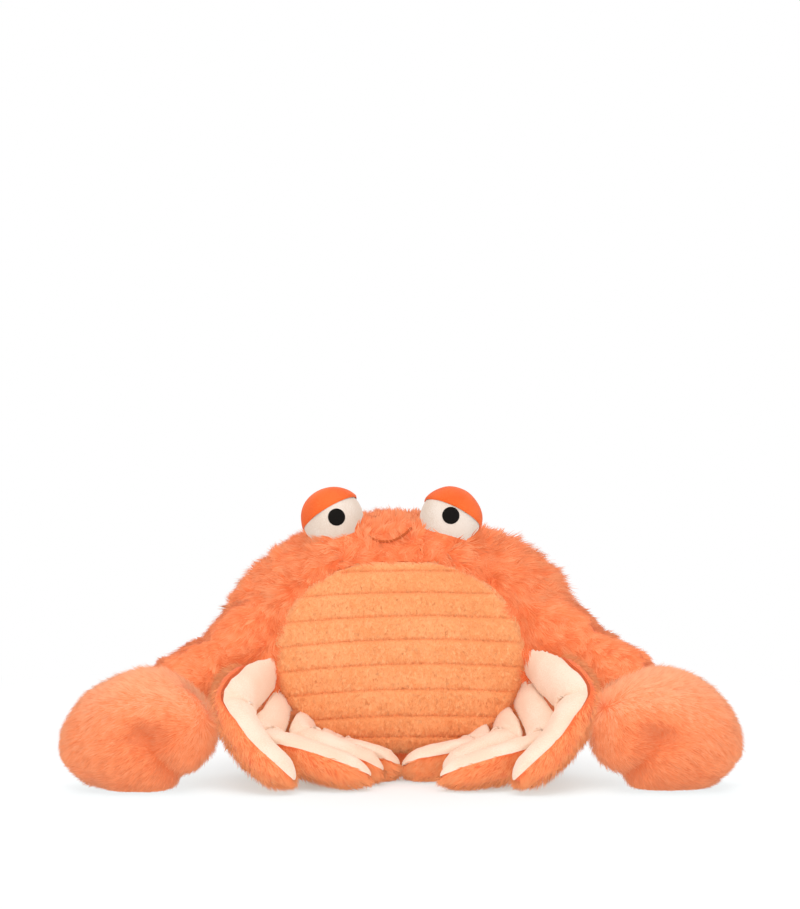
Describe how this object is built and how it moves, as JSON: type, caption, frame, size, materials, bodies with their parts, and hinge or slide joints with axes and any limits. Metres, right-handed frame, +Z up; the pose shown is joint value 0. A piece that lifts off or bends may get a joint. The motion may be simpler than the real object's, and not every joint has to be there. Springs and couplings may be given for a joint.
{
  "type": "plush crab",
  "caption": "Seated plush crab with a ribbed belly panel, stuffed arms and claws, folded two-tone legs, lidded eyes and a sewn smile.",
  "frame": {"origin": "middle of the whole crab's box, on the surface that it sits on", "axes": "+X runs from the left claw to the right claw as a viewer sees them, +Y from the belly to the back, +Z up"},
  "size_m": [0.3656, 0.1754, 0.1595],
  "materials": {
    "fur": "soft long pile fur fabric, orange, paler at the tips",
    "ribbed_plush": "short pile plush sewn in level ribs, lighter orange",
    "suedette": "smooth cream suedette with a faint nap",
    "eye_felt": "off white felted cloth",
    "lid_felt": "strong orange felted cloth",
    "embroidery": "black satin stitch embroidery",
    "mouth_thread": "brown sewing thread",
    "filling": "white polyester fibre filling"
  },
  "bodies": {
    "root": {"back_cover": "fur", "belly_panel": "ribbed_plush", "body_filling": "filling", "left_claw_cover": "fur", "left_claw_filling": "filling", "left_eyeball": "eye_felt", "left_eyelid": "lid_felt", "left_forearm_cover": "fur", "left_forearm_filling": "filling", "left_leg_1_cream_panel": "suedette", "left_leg_1_filling": "filling", "left_leg_1_fur_panel": "fur", "left_leg_2_cream_panel": "suedette", "left_leg_2_filling": "filling", "left_leg_2_fur_panel": "fur", "left_leg_3_cream_panel": "suedette", "left_leg_3_filling": "filling", "left_leg_3_fur_panel": "fur", "left_leg_4_cream_panel": "suedette", "left_leg_4_filling": "filling", "left_leg_4_fur_panel": "fur", "left_pupil": "embroidery", "left_upper_arm_cover": "fur", "left_upper_arm_filling": "filling", "mouth_stitch": "mouth_thread", "right_claw_cover": "fur", "right_claw_filling": "filling", "right_eyeball": "eye_felt", "right_eyelid": "lid_felt", "right_forearm_cover": "fur", "right_forearm_filling": "filling", "right_leg_1_cream_panel": "suedette", "right_leg_1_filling": "filling", "right_leg_1_fur_panel": "fur", "right_leg_2_cream_panel": "suedette", "right_leg_2_filling": "filling", "right_leg_2_fur_panel": "fur", "right_leg_3_cream_panel": "suedette", "right_leg_3_filling": "filling", "right_leg_3_fur_panel": "fur", "right_leg_4_cream_panel": "suedette", "right_leg_4_filling": "filling", "right_leg_4_fur_panel": "fur", "right_pupil": "embroidery", "right_upper_arm_cover": "fur", "right_upper_arm_filling": "filling"}
  },
  "joints": []
}
